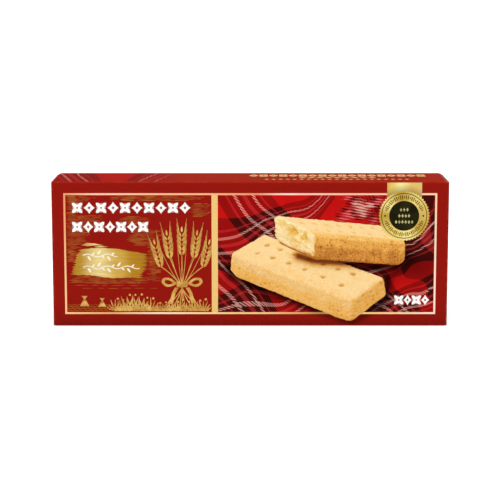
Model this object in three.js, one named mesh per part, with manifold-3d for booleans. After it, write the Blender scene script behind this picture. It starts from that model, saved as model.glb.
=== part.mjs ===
// A shut folding carton of biscuit fingers, standing on its long narrow side.
// Millimetres, +Z up. The front panel faces -Y and the origin is the middle of the base.
// The carton is folded and glued from one blank of board, so it is one solid. Each end is
// closed in three layers: dust flaps, then an inner flap hinged on the back panel, then an
// outer flap hinged on the front panel.

import * as THREE from "three";
import { mergeVertices } from "three/addons/utils/BufferGeometryUtils.js";
import Module from "manifold-3d";

// Outside size of the shut carton
const LENGTH = 180;
const HEIGHT = 66.5;
const DEPTH = 34;

// Board and folds
const BOARD = 0.4;
const CREASE_RADIUS = 0.7;
const ARC_SEGMENTS = 4;

// Flap cuts: how much narrower a flap is than its opening, how far its free edge stops short
// of the opposite crease, and the corners cut off its free edge
const FLAP_INSET = 0.25;
const OUTER_FLAP_SHORT = 2.4;
const INNER_FLAP_SHORT = 6;
const FLAP_CORNER = 2;

// The side seam: the back panel's cut edge stands this far above the base
const SEAM_HEIGHT = 0.7;

const PRINTED_RED = "#901813";

const wasm = await Module();
wasm.setup();

const front = -DEPTH / 2;
const back = DEPTH / 2;
const quarter = Math.PI / 2;

// An outline drawn anticlockwise whose corners are points or rounded creases.
// A corner is [x, y], or [x, y, radius, start angle] for a crease that turns a quarter.
function outline(corners) {
  const shape = new THREE.Shape();
  corners.forEach(([x, y, radius, start], i) => {
    if (radius) {
      const from = [x + radius * Math.cos(start), y + radius * Math.sin(start)];
      if (i) shape.lineTo(...from);
      else shape.moveTo(...from);
      shape.absarc(x, y, radius, start, start + quarter, false);
    } else if (i) {
      shape.lineTo(x, y);
    } else {
      shape.moveTo(x, y);
    }
  });
  shape.closePath();
  return shape;
}

// A prism of the outline, from z 0 to the given depth, before it is turned into place.
function prism(shape, depth) {
  return new THREE.ExtrudeGeometry(shape, {
    depth,
    bevelEnabled: false,
    curveSegments: ARC_SEGMENTS,
  });
}

// Turns a prism drawn in the YZ plane so that it runs along X, centred.
function alongX(geometry, length) {
  const turn = new THREE.Matrix4().makeBasis(
    new THREE.Vector3(0, 1, 0),
    new THREE.Vector3(0, 0, 1),
    new THREE.Vector3(1, 0, 0),
  );
  return geometry.applyMatrix4(turn).translate(-length / 2, 0, 0);
}

// Turns a prism drawn in the XZ plane so that it runs along Y, centred.
function alongY(geometry, length) {
  return geometry.rotateX(quarter).translate(0, length / 2, 0);
}

function toSolid(geometry) {
  const bare = geometry.clone();
  bare.deleteAttribute("normal");
  bare.deleteAttribute("uv");
  const merged = mergeVertices(bare, 1e-4);
  return new wasm.Manifold(
    new wasm.Mesh({
      numProp: 3,
      vertProperties: new Float32Array(merged.attributes.position.array),
      triVerts: new Uint32Array(merged.index.array),
    }),
  );
}

function toGeometry(solid) {
  const mesh = solid.getMesh();
  const geometry = new THREE.BufferGeometry();
  geometry.setAttribute("position", new THREE.BufferAttribute(mesh.vertProperties, 3));
  geometry.setIndex(new THREE.BufferAttribute(mesh.triVerts, 1));
  geometry.computeVertexNormals();
  return geometry;
}

// The four long panels. Three long edges are creases. At the fourth, the base turns up inside
// the back panel as the glue flap, and the back panel ends in a cut edge just above it.
function sleeve(length) {
  const r = CREASE_RADIUS;
  const glueFace = back - BOARD;
  const section = outline([
    [front + r, r, r, 2 * quarter],
    [glueFace - r, r, r, 3 * quarter],
    [glueFace, SEAM_HEIGHT],
    [back, SEAM_HEIGHT],
    [back - r, HEIGHT - r, r, 0],
    [front + r, HEIGHT - r, r, quarter],
  ]);
  return toSolid(alongX(prism(section, length), length));
}

// The dust flaps: the top and the base turn down into each end over a crease.
function dustFlapCreases(halfLength) {
  const r = CREASE_RADIUS;
  const face = outline([
    [-halfLength + r, r, r, 2 * quarter],
    [halfLength - r, r, r, 3 * quarter],
    [halfLength - r, HEIGHT - r, r, 0],
    [-halfLength + r, HEIGHT - r, r, quarter],
  ]);
  return toSolid(alongY(prism(face, DEPTH), DEPTH));
}

// A closing flap at both ends, seen from above: it turns round its panel's two side creases
// and stops short of the panel across. Side is 1 for flaps on the back panel, -1 on the front.
function closingFlaps(halfLength, side, short) {
  const r = CREASE_RADIUS;
  const panel = (side * DEPTH) / 2;
  const free = -side * (DEPTH / 2 - short);
  const creaseRight = [halfLength - r, panel - side * r, r, side > 0 ? 0 : 3 * quarter];
  const creaseLeft = [-halfLength + r, panel - side * r, r, side > 0 ? quarter : 2 * quarter];
  const plan =
    side > 0
      ? [[halfLength, free], creaseRight, creaseLeft, [-halfLength, free]]
      : [creaseLeft, creaseRight, [halfLength, free], [-halfLength, free]];
  const wrap = toSolid(prism(outline(plan), HEIGHT));

  const low = FLAP_INSET;
  const high = HEIGHT - FLAP_INSET;
  const cut = free + side * FLAP_CORNER;
  const face =
    side > 0
      ? [[cut, low], [panel, low], [panel, high], [cut, high], [free, high - FLAP_CORNER], [free, low + FLAP_CORNER]]
      : [[panel, low], [cut, low], [free, low + FLAP_CORNER], [free, high - FLAP_CORNER], [cut, high], [panel, high]];
  return wrap.intersect(toSolid(alongX(prism(outline(face), LENGTH), LENGTH)));
}

function cartonSolid() {
  const outerHalf = LENGTH / 2;
  const innerHalf = outerHalf - BOARD;
  const dustHalf = innerHalf - BOARD;
  const tube = sleeve(2 * dustHalf).intersect(dustFlapCreases(dustHalf));
  return tube
    .add(closingFlaps(innerHalf, 1, INNER_FLAP_SHORT))
    .add(closingFlaps(outerHalf, -1, OUTER_FLAP_SHORT));
}

const carton = new THREE.Mesh(
  toGeometry(cartonSolid()),
  new THREE.MeshStandardMaterial({ color: PRINTED_RED, roughness: 0.42, metalness: 0 }),
);
carton.name = "carton";

const part = new THREE.Group();
part.add(carton);

export default part;
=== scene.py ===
# Looks of a shut carton of shortbread fingers that stands on its long narrow side.
# The frame is in metres with +Z up. The front panel faces -Y and the origin is the middle
# of the base. Print is laid on the board as thin closed layers of ink and foil. Layouts are
# in millimetres on each panel: u to the right, v up, w out of the board.

import math
import random

import bpy
import numpy as np
from mathutils import Matrix, Vector, noise


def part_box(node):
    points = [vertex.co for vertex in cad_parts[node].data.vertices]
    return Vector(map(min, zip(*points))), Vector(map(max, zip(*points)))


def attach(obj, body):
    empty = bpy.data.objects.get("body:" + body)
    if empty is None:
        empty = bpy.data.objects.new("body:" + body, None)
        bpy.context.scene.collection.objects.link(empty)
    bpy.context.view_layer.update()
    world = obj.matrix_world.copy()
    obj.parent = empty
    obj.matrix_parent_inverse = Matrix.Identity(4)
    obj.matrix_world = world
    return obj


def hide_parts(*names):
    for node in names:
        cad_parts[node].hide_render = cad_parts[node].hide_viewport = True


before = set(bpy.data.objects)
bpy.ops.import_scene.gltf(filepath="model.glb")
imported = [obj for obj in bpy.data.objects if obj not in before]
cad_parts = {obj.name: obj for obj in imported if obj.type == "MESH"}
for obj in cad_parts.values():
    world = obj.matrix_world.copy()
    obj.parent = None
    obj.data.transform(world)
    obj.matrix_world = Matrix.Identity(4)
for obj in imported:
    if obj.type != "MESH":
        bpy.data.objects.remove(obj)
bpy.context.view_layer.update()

MM = 0.001
low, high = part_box("carton")
LENGTH, DEPTH, HEIGHT = (high - low) / MM
SEED = 7

# Thickness of the print, in millimetres: how far each layer stands out of the board, and how
# far every layer is rooted in it. The board itself lies back by the thickest layer.
ROOT = 0.06
GROUND = 0.02
LINES = 0.035
FOIL = 0.05
LOWER_BISCUIT = 0.085
UPPER_BISCUIT = 0.12
BISCUIT_SQUEEZE = 0.03
BAND = 0.13
SEAL = 0.14
RELIEF = 0.16
SEAL_PRINT = SEAL + 0.01
BASE_GAP = GROUND + LINES

# Layout of the big panels: the frame line, and the bar that parts the cloth from the red half
FRAME_SIDE = 84.4
FRAME_LOW = 5.56
FRAME_HIGH = 61.17
FRAME_LINE = 0.87
INSIDE_LOW = FRAME_LOW + FRAME_LINE
INSIDE_HIGH = FRAME_HIGH - FRAME_LINE
INSIDE_SIDE = FRAME_SIDE - FRAME_LINE
BAR_LEFT = -17.5
BAR_RIGHT = -14.7
BAR_LAP = 0.1
BAR_LAYER = FOIL - 0.005

# The round seal: its middle and radius, the fine ring, the dark middle and the two dots beside
# it. And the band that it holds over the fold, with the stretch that its sheen runs across.
SEAL_U = 69.6
SEAL_V = 50.85
SEAL_R = 11.25
SEAL_RING = (10.4, 10.02)
SEAL_DARK = 6.8
SEAL_DOTS = 8.6
DOT_R = 0.42
BAND_LEFT = 61.8
BAND_RIGHT = 77.5
BAND_SHEEN = (61.9, 77.7)


def panel(across, up, out, origin):
    """The matrix from a panel's own u, v, w in millimetres to the frame in metres."""
    matrix = Matrix.Identity(4)
    for column, axis in enumerate((across, up, out)):
        matrix.col[column] = Vector((*axis, 0)) * MM
    matrix.col[3] = Vector((*[value * MM for value in origin], 1))
    return matrix


FRONT = panel((1, 0, 0), (0, 0, 1), (0, -1, 0), (0, RELIEF - DEPTH / 2, 0))
BACK = panel((-1, 0, 0), (0, 0, 1), (0, 1, 0), (0, DEPTH / 2 - RELIEF, 0))
TOP = panel((1, 0, 0), (0, 1, 0), (0, 0, 1), (0, 0, HEIGHT - RELIEF))
BASE = panel((1, 0, 0), (0, -1, 0), (0, 0, -1), (0, 0, BASE_GAP))
RIGHT = panel((0, 1, 0), (0, 0, 1), (1, 0, 0), (LENGTH / 2 - RELIEF, 0, 0))
LEFT = panel((0, -1, 0), (0, 0, 1), (-1, 0, 0), (RELIEF - LENGTH / 2, 0, 0))


# Colours and nodes


def linear(code):
    """An sRGB hex colour as linear light."""
    parts = [int(code[i : i + 2], 16) / 255 for i in (1, 3, 5)]
    return [p / 12.92 if p <= 0.04045 else ((p + 0.055) / 1.055) ** 2.4 for p in parts] + [1]


def add(tree, kind, inputs=(), stops=(), **settings):
    """Adds a node with its settings, its colour stops and what goes into its sockets."""
    made = tree.nodes.new("ShaderNode" + kind)
    for name, value in settings.items():
        setattr(made, name, value)
    if stops:
        made.color_ramp.interpolation = stops[0]
        elements = made.color_ramp.elements
        while len(elements) < len(stops) - 1:
            elements.new(1)
        for element, (place, colour) in zip(elements, sorted(stops[1:])):
            element.position = place
            element.color = linear(colour)
    for name, value in dict(inputs).items():
        named = [s for s in made.inputs if s.enabled and s.name == name]
        socket = named[0] if named else made.inputs[name]
        if isinstance(value, bpy.types.Node):
            value = next(output for output in value.outputs if output.enabled)
        if isinstance(value, bpy.types.NodeSocket):
            tree.links.new(value, socket)
        elif isinstance(value, str):
            socket.default_value = linear(value)
        else:
            socket.default_value = value
    return made


def start_material(name, roughness, specular, metallic=0.0):
    """A material with its shader, and the piece's own coordinates in metres."""
    material = bpy.data.materials.new(name)
    material.use_nodes = True
    tree = material.node_tree
    shader = tree.nodes["Principled BSDF"]
    shader.inputs["Roughness"].default_value = roughness
    shader.inputs["Specular IOR Level"].default_value = specular
    shader.inputs["Metallic"].default_value = metallic
    place = add(tree, "TexCoord").outputs["Object"]
    return material, tree, shader, place


def grain(tree, place, size, detail=2.0, stretch=(1, 1, 1)):
    """Noise whose features measure about size millimetres."""
    mapped = add(tree, "Mapping", {"Vector": place, "Scale": stretch})
    return add(tree, "TexNoise", {"Vector": mapped, "Scale": 1 / (size * MM), "Detail": detail})


def join(tree, shader, colour, height=None, depth=0.02):
    """Links a colour and a bump of some depth in millimetres to the shader."""
    tree.links.new(next(o for o in colour.outputs if o.enabled), shader.inputs["Base Color"])
    if height:
        bump = add(tree, "Bump", {"Height": height, "Distance": depth * MM, "Strength": 0.6})
        tree.links.new(bump.outputs["Normal"], shader.inputs["Normal"])


# How far raw noise is stretched where a pattern uses its whole range
SPREAD = {"From Min": 0.3, "From Max": 0.7}


def even_ink(name, roughness, specular, size, depth, *stops, detail=4, metallic=0.0, stretch=(1, 1, 1)):
    """A plain ink or raw pulp. Its colour wanders between the stops with a grain of some size,
    and its surface lifts with it by some depth, both in millimetres."""
    material, tree, shader, place = start_material(name, roughness, specular, metallic)
    cover = grain(tree, place, size, detail, stretch)
    colour = add(tree, "ValToRGB", {"Fac": cover}, ("LINEAR", *stops))
    join(tree, shader, colour, cover, depth)
    return material


BOARD_RED = "#92170F"
# The top's lighter, warmer red is painted light from above
LIT_TOP_RED = "#AE2510"


def coated_board():
    """Offset-printed, varnished carton board: an even red with a faint fibre mottle. Painted shade
    deepens it towards the foot of the pack, painted light from above makes the top a lighter,
    warmer red, and the creases turn paler, partly from wear by rubbing and partly from a painted
    highlight along the folds. The shade attribute is a printed shadow."""
    material, tree, shader, place = start_material("coated_board_red", 0.5, 0.01)
    z = add(tree, "SeparateXYZ", {"Vector": place}).outputs["Z"]
    rise = add(tree, "MapRange", {"Value": z, "From Min": 0, "From Max": HEIGHT * MM})
    # Darker towards the foot: painted shade. The last stops give the top face its painted light.
    stops = (
        "EASE",
        (0, "#80160F"),
        (0.075, "#8C170F"),
        (0.13, BOARD_RED),
        (0.985, BOARD_RED),
        (0.996, LIT_TOP_RED),
    )
    red = add(tree, "ValToRGB", {"Fac": rise}, stops)
    mottle = grain(tree, place, 2.5, 5)
    uneven = add(tree, "MapRange", {"Value": mottle, "To Min": 0.94, "To Max": 1.06})
    toned = add(tree, "VectorMath", {0: red.outputs["Color"], "Scale": uneven}, operation="SCALE")
    # Paler creases: partly wear by rubbing that shows the fibre, partly a painted highlight along the folds
    crease = add(tree, "Attribute", attribute_name="crease").outputs["Fac"]
    wear_and_sheen_range = {"Value": grain(tree, place, 2.2, 4), "From Min": 0.45, "From Max": 0.75, "To Max": 0.5}
    wear_and_sheen = add(tree, "MapRange", wear_and_sheen_range)
    crease_wear_and_sheen = add(tree, "Math", {0: crease, 1: wear_and_sheen}, operation="MULTIPLY")
    fibre = add(tree, "Mix", {"Factor": crease_wear_and_sheen, "A": toned, "B": "#C0604A"}, data_type="RGBA")
    shade = add(tree, "Attribute", attribute_name="shade").outputs["Fac"]
    shaded = add(tree, "Mix", {"Factor": shade, "A": fibre, "B": "#1A0402"}, data_type="RGBA")
    join(tree, shader, shaded, grain(tree, place, 0.35, 4), 0.012)
    return material


# Where the pictured biscuit's printed shadow darkens the lower frame line: middle, half sizes
FOIL_SHADOW = (33.5, 5.6, 12, 4)


def gold_foil():
    """Stamped rose-gold foil: bright satin metal whose colour carries a painted reflection, swinging
    from bronze to near white along each line and rosier on the upper lines, as a curved studio
    reflection would."""
    material, tree, shader, place = start_material("rose_gold_foil", 0.4, 0.3, 0.1)
    axes = add(tree, "SeparateXYZ", {"Vector": place})
    side = FRAME_SIDE * MM
    along = add(tree, "MapRange", {"Value": axes.outputs["X"], "From Min": -side, "From Max": side})
    # Painted reflection: the light and dark swings along each line stand in for a curved studio light in the
    # foil
    rosy = (
        "LINEAR",
        (0.0, "#E59C62"),
        (0.09, "#FFCBAE"),
        (0.25, "#FFBC8E"),
        (0.42, "#F7B27C"),
        (0.52, "#E58F62"),
        (0.6, "#FFDDCC"),
        (0.64, "#FFC8AE"),
        (0.8, "#FFBE9C"),
        (1.0, "#FFD6AA"),
    )
    golden = (
        "LINEAR",
        (0.0, "#FFCB8C"),
        (0.13, "#ECA864"),
        (0.25, "#FFE4C6"),
        (0.4, "#FFD492"),
        (0.55, "#FAC384"),
        (0.63, "#E6A564"),
        (0.75, "#F7C268"),
        (0.9, "#FFD498"),
        (1.0, "#FFE4CC"),
    )
    upper = add(tree, "ValToRGB", {"Fac": along}, rosy)
    lower = add(tree, "ValToRGB", {"Fac": along}, golden)
    rise = add(tree, "MapRange", {"Value": axes.outputs["Z"], "From Min": 12 * MM, "From Max": 56 * MM})
    gold = add(tree, "Mix", {"Factor": rise, "A": lower, "B": upper}, data_type="RGBA")
    u, v, half_width, half_height = FOIL_SHADOW
    spot = (-u * MM, DEPTH / 2 * MM, -v * MM)
    moved = add(tree, "VectorMath", {0: place, 1: spot}, operation="ADD")
    shrink = [1 / (half * MM) for half in (half_width, half_height, half_height)]
    sized = add(tree, "Mapping", {"Vector": moved, "Scale": shrink})
    away = add(tree, "VectorMath", {0: sized}, operation="LENGTH").outputs["Value"]
    shade = add(tree, "MapRange", {"Value": away, "To Min": 0.42}, interpolation_type="SMOOTHSTEP")
    colour = add(tree, "VectorMath", {0: gold.outputs[2], "Scale": shade}, operation="SCALE")
    join(tree, shader, colour, grain(tree, place, 0.5, 3), 0.006)
    return material


# Both ends of the brushed gold patch
PATCH_LEFT = -82
PATCH_RIGHT = -45


def brushed_gold():
    """Dry-brushed gold paint: dark at both ends, a pale glow a third of the way, with streaks."""
    material, tree, shader, place = start_material("brushed_gold_paint", 0.45, 0.12, 0.05)
    x = add(tree, "SeparateXYZ", {"Vector": place}).outputs["X"]
    along = add(tree, "MapRange", {"Value": x, "From Min": PATCH_LEFT * MM, "From Max": PATCH_RIGHT * MM})
    stops = (
        "EASE",
        (0.0, "#9C6B14"),
        (0.1, "#B88A28"),
        (0.36, "#EAD288"),
        (0.6, "#CFA748"),
        (0.8, "#B58216"),
        (1.0, "#A4731C"),
    )
    gold = add(tree, "ValToRGB", {"Fac": along}, stops)
    streak = grain(tree, place, 0.7, 4, (0.06, 1, 1))
    level = add(tree, "MapRange", {"Value": streak, "To Min": 0.86, "To Max": 1.1, **SPREAD})
    colour = add(tree, "VectorMath", {0: gold.outputs["Color"], "Scale": level}, operation="SCALE")
    join(tree, shader, colour, streak, 0.01)
    return material


# The cloth's thread count, from the middle of a stripe group to the middle of the red field,
# as shares of one repeat, with the white threads apart, and how many coarse threads one repeat
# has. Real worsted has finer threads: these are drawn as coarse as the print shows them.
THREADS = 108
TWILL = 4
FINER = 2
SETT = (
    "CONSTANT",
    (0.0, "#B02A2E"),
    (0.045, "#430B09"),
    (0.335, "#A52526"),
    (0.385, "#430B09"),
    (0.6, "#C21211"),
)
WHITE_THREADS = ("CONSTANT", (0.0, "#000000"), (0.16, "#FFFFFF"), (0.228, "#000000"))
# How fully a white thread covers what lies under it, in the warp and in the weft
WARP_COVER = 0.86
WEFT_COVER = 0.72

# Loose stitches over the lit fold: how far apart their rows lie in millimetres, and how much they
# lean. Then, for each ink, the part of the glint attribute that it follows, whether it lies in
# the rows or between them, and how strong the glint has to be before it shows.
STITCH_ROW = 1.25
STITCH_LEAN = -0.16
STITCHES = (
    ("Y", True, 1.32, "#B42A2C"),
    ("Y", True, 1.66, "#DC6A68"),
    ("Z", False, 1.34, "#560F10"),
    ("X", True, 1.32, "#B85A54"),
    ("X", True, 1.62, "#DCA99B"),
)


def tartan_print():
    """A photograph-like print of worsted tartan. Warp and weft carry the same thread count and
    cross in a two-over-two twill: dark and red threads blend, white ones break up into slanted
    dashes. The cloth attribute gives where each point lies in the repeat, glint where loose
    pale, rose and dark stitches lie over a fold, and fade lets the red board show."""
    material, tree, shader, place = start_material("tartan_print_ink", 0.5, 0.01)
    cloth = add(tree, "Attribute", attribute_name="cloth").outputs["Vector"]
    axes = add(tree, "SeparateXYZ", {"Vector": cloth})
    dyed, white = [], []
    for axis in ("X", "Y"):
        fold = add(tree, "Math", {0: axes.outputs[axis], 1: 0.5}, operation="PINGPONG")
        share = add(tree, "Math", {0: fold, 1: 2.0}, operation="MULTIPLY")
        dyed.append(add(tree, "ValToRGB", {"Fac": share}, SETT).outputs["Color"])
        white.append(add(tree, "ValToRGB", {"Fac": share}, WHITE_THREADS).outputs["Color"])
    diagonal = add(tree, "Math", {0: axes.outputs["X"], 1: axes.outputs["Y"]}, operation="ADD")
    phase = add(tree, "Math", {0: diagonal, 1: THREADS / TWILL}, operation="MULTIPLY")
    step = add(tree, "Math", {0: phase}, operation="FRACT")
    over = add(tree, "MapRange", {"Value": step, "From Min": 0.42, "From Max": 0.58})
    under = add(tree, "MapRange", {"Value": step, "From Min": 0.92, "From Max": 1.0})
    warp_up = add(tree, "Math", {0: over, 1: under}, operation="SUBTRACT")
    finer = add(tree, "Math", {0: phase, 1: FINER}, operation="MULTIPLY")
    rib = add(tree, "Math", {0: finer}, operation="FRACT")
    ribs = {"Value": rib, "From Min": 0.4, "From Max": 0.6, "To Min": 0.22, "To Max": 0.78}
    blend = add(tree, "MapRange", ribs)
    less = add(tree, "Math", {0: blend, 1: white[0]}, operation="SUBTRACT")
    crossing = add(tree, "Math", {0: less, 1: white[1]}, operation="ADD")
    woven = add(tree, "Mix", {"Factor": crossing, "A": dyed[1], "B": dyed[0]}, data_type="RGBA")
    faint = add(tree, "Math", {0: white[1], 1: WEFT_COVER}, operation="MULTIPLY")
    strong = add(tree, "Math", {0: white[0], 1: WARP_COVER}, operation="MULTIPLY")
    pale = add(tree, "Mix", {"Factor": warp_up, "A": faint, "B": strong}, data_type="RGBA").outputs[2]
    threads = {"Factor": pale, "A": woven.outputs[2], "B": "#D79C90"}
    striped = add(tree, "Mix", threads, data_type="RGBA")
    tone = add(tree, "Attribute", attribute_name="tone").outputs["Fac"]
    soft = add(tree, "MapRange", {"Value": grain(tree, place, 9, 3), "To Min": 0.76, "To Max": 1.24})
    light = add(tree, "Math", {0: tone, 1: soft}, operation="MULTIPLY")
    lit = add(tree, "VectorMath", {0: striped.outputs[2], "Scale": light}, operation="SCALE")
    glint = add(tree, "Attribute", attribute_name="glint").outputs["Vector"]
    spots = add(tree, "SeparateXYZ", {"Vector": glint})
    leaned = add(tree, "Mapping", {"Vector": place, "Rotation": (0, STITCH_LEAN, 0)})
    row_scale = 2 * math.pi / (20 * STITCH_ROW * MM)
    wander = {"Vector": leaned, "Scale": row_scale, "Distortion": 2.4, "Detail": 1, "Detail Scale": 1.3}
    rows = add(tree, "TexWave", wander, bands_direction="Z").outputs["Fac"]
    between = add(tree, "Math", {0: 1.0, 1: rows}, operation="SUBTRACT")
    patchy = grain(tree, place, 1.6, 3, (0.4, 1, 1))
    for axis, in_row, least, ink in STITCHES:
        teeth = rows if in_row else between
        ridge = add(tree, "Math", {0: teeth, 1: 0.55, 2: patchy}, operation="MULTIPLY_ADD")
        raised = add(tree, "Math", {0: ridge, 1: spots.outputs[axis]}, operation="ADD")
        shown = {"Value": raised, "From Min": least, "From Max": least + 0.14, "To Max": 0.92}
        stitched = add(tree, "MapRange", shown)
        lit = add(tree, "Mix", {"Factor": stitched, "A": lit, "B": ink}, data_type="RGBA").outputs[2]
    fade = add(tree, "Attribute", attribute_name="fade").outputs["Fac"]
    colour = add(tree, "Mix", {"Factor": fade, "A": lit, "B": LIT_TOP_RED}, data_type="RGBA")
    join(tree, shader, colour, grain(tree, place, 0.35, 4), 0.008)
    return material


def biscuit_print():
    """A printed picture of baked butter dough: sandy crumb, pale top, toasted lower side. The
    loaf attribute is the place in the pictured biscuit, in its own millimetres, so the crumb
    follows its faces. Tone is its light and shade, bake its browning, crumb its broken end."""
    material, tree, shader, _ = start_material("shortbread_print_ink", 0.55, 0.05)
    loaf = add(tree, "Attribute", attribute_name="loaf").outputs["Vector"]
    tone = add(tree, "Attribute", attribute_name="tone").outputs["Fac"]
    bake = add(tree, "Attribute", attribute_name="bake").outputs["Fac"]
    crumb = add(tree, "Attribute", attribute_name="crumb").outputs["Vector"]
    opening = add(tree, "SeparateXYZ", {"Vector": crumb})
    sand = add(tree, "TexNoise", {"Vector": loaf, "Scale": 0.75, "Detail": 6, "Roughness": 0.8})
    patches = add(tree, "TexNoise", {"Vector": loaf, "Scale": 0.13, "Detail": 3})
    clouds = add(tree, "MapRange", {"Value": patches, "To Min": -0.1, "To Max": 0.14, **SPREAD})
    fine = add(tree, "MapRange", {"Value": sand, "To Min": -0.34, "To Max": 0.34, **SPREAD})
    uneven = add(tree, "Math", {0: clouds, 1: fine}, operation="ADD")
    browned = add(tree, "Math", {0: bake, 1: uneven}, operation="ADD")
    crust = (
        "LINEAR",
        (0.0, "#FBDA9E"),
        (0.14, "#FAD28C"),
        (0.4, "#FBCA74"),
        (0.56, "#F3B95D"),
        (0.68, "#EDAE53"),
        (0.8, "#E29E4A"),
        (1.0, "#C07C32"),
    )
    dough = add(tree, "ValToRGB", {"Fac": browned}, crust)
    ragged = add(tree, "Math", {0: opening.outputs["Y"], 1: -0.3, 2: sand}, operation="MULTIPLY_ADD")
    crumbs = ("LINEAR", (0.1, "#D49A38"), (0.26, "#F1C05C"), (0.42, "#FCDF98"), (0.6, "#FFF0CA"))
    broken = add(tree, "ValToRGB", {"Fac": ragged}, crumbs)
    opened = add(tree, "Mix", {"Factor": opening.outputs["X"], "A": dough, "B": broken}, data_type="RGBA")
    stretched = add(tree, "Mapping", {"Vector": loaf, "Scale": (0.6, 0.6, 1)})
    speck = add(tree, "TexVoronoi", {"Vector": stretched, "Scale": 0.5, "Randomness": 1})
    near = {"From Min": 0.18, "From Max": 0.36, "To Min": 1, "To Max": 0}
    pore = add(tree, "MapRange", {"Value": speck.outputs["Distance"], **near})
    sparse = add(tree, "TexNoise", {"Vector": loaf, "Scale": 0.3, "Detail": 2})
    where = add(tree, "MapRange", {"Value": sparse, "From Min": 0.42, "From Max": 0.56})
    for share in (where, bake):
        pore = add(tree, "Math", {0: pore, 1: share}, operation="MULTIPLY")
    level = add(tree, "Mapping", {"Vector": loaf, "Scale": (0.3, 0.3, 1)})
    seam = add(tree, "TexNoise", {"Vector": level, "Scale": 0.42, "Detail": 4, "Distortion": 0.8})
    gap = add(tree, "Math", {0: seam, 1: 0.5}, operation="SUBTRACT")
    thin = add(tree, "Math", {0: gap}, operation="ABSOLUTE")
    open_line = {"From Min": 0.008, "From Max": 0.028, "To Min": 0.9, "To Max": 0}
    crack = add(tree, "MapRange", {"Value": thin, **open_line})
    few = add(tree, "MapRange", {"Value": sparse, "From Min": 0.5, "From Max": 0.58})
    deep = add(tree, "MapRange", {"Value": bake, "From Min": 0.6, "From Max": 0.8})
    for share in (few, deep):
        crack = add(tree, "Math", {0: crack, 1: share}, operation="MULTIPLY")
    marks = add(tree, "Math", {0: pore, 1: crack}, operation="MAXIMUM")
    specked = add(tree, "Mix", {"Factor": marks, "A": opened, "B": "#94501E"}, data_type="RGBA")
    shades = (
        "LINEAR",
        (0.0, "#2E1204"),
        (0.3, "#8A5226"),
        (0.55, "#CCA26A"),
        (0.8, "#EBDDC4"),
        (1.0, "#FFFFFF"),
    )
    warmth = add(tree, "ValToRGB", {"Fac": tone}, shades)
    layers = {"Factor": 1.0, "A": specked.outputs[2], "B": warmth.outputs["Color"]}
    colour = add(tree, "Mix", layers, data_type="RGBA", blend_type="MULTIPLY")
    join(tree, shader, colour, sand, 0.02)
    return material


def seal_gold():
    """The sticker's gold foil: a satin gold with a painted reflection that swings between straw and olive
    with angle.
    """
    material, tree, shader, place = start_material("seal_gold_foil", 0.38, 0.3, 0.15)
    centred = add(tree, "Mapping", {"Vector": place, "Location": (-SEAL_U * MM, 0, -SEAL_V * MM)})
    turned = add(tree, "Mapping", {"Vector": centred, "Rotation": (math.pi / 2, 0, 0)})
    painted_sheen_angle = add(tree, "TexGradient", {"Vector": turned}, gradient_type="RADIAL")
    # Painted reflection: bright and dark sectors round the seal stand in for light reflected in the foil
    stops = (
        "EASE",
        (0.0, "#BE9B38"),
        (0.1, "#F1DE86"),
        (0.22, "#B9962F"),
        (0.36, "#E9D272"),
        (0.5, "#CFAE52"),
        (0.6, "#C3A037"),
        (0.72, "#F3E28C"),
        (0.85, "#E6CB66"),
        (1.0, "#BE9B38"),
    )
    colour = add(tree, "ValToRGB", {"Fac": painted_sheen_angle.outputs["Fac"]}, stops)
    join(tree, shader, colour, grain(tree, place, 0.4, 3), 0.006)
    return material


def band_gold():
    """The band over the fold: pale gold with a lit middle, shaded where it meets the seal."""
    material, tree, shader, place = start_material("band_gold_foil", 0.38, 0.3, 0.15)
    x = add(tree, "SeparateXYZ", {"Vector": place}).outputs["X"]
    left, right = BAND_SHEEN
    across = add(tree, "MapRange", {"Value": x, "From Min": left * MM, "From Max": right * MM})
    stops = (
        "EASE",
        (0.0, "#D8AE50"),
        (0.12, "#E6C465"),
        (0.38, "#F8E896"),
        (0.75, "#E4BE62"),
        (1.0, "#DDBB70"),
    )
    gold = add(tree, "ValToRGB", {"Fac": across}, stops)
    middle = {"Vector": place, "Location": (-SEAL_U * MM, 0, -SEAL_V * MM), "Scale": (1, 0, 1)}
    centred = add(tree, "Mapping", middle)
    away = add(tree, "VectorMath", {0: centred}, operation="LENGTH").outputs["Value"]
    rim = SEAL_R * MM
    near = {"Value": away, "From Min": rim, "From Max": rim + 3.2 * MM, "To Min": 0.5}
    shade = add(tree, "MapRange", near)
    colour = add(tree, "VectorMath", {0: gold.outputs["Color"], "Scale": shade}, operation="SCALE")
    join(tree, shader, colour, grain(tree, place, 0.4, 3), 0.006)
    return material


# Making pieces


def pick(piece):
    """Selects one piece only."""
    bpy.ops.object.select_all(action="DESELECT")
    piece.select_set(True)
    bpy.context.view_layer.objects.active = piece


def settle(piece, name, matrix, *materials):
    """Puts a piece in place for good, names and dresses it, and fixes it to the carton."""
    pick(piece)
    piece.matrix_world = matrix
    bpy.ops.object.convert(target="MESH")
    bpy.ops.object.transform_apply(location=True, rotation=True, scale=True)
    piece.name = name
    piece.data.name = name
    if len(piece.data.materials) == 0:
        for material in materials:
            piece.data.materials.append(material)
    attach(piece, "root")
    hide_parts("carton")
    return piece


def close_up(piece):
    """Joins a piece's loose seams and turns its faces outwards."""
    pick(piece)
    bpy.ops.object.mode_set(mode="EDIT")
    bpy.ops.mesh.select_all(action="SELECT")
    bpy.ops.mesh.remove_doubles(threshold=0.5e-6)
    bpy.ops.mesh.normals_make_consistent(inside=False)
    bpy.ops.object.mode_set(mode="OBJECT")


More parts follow.
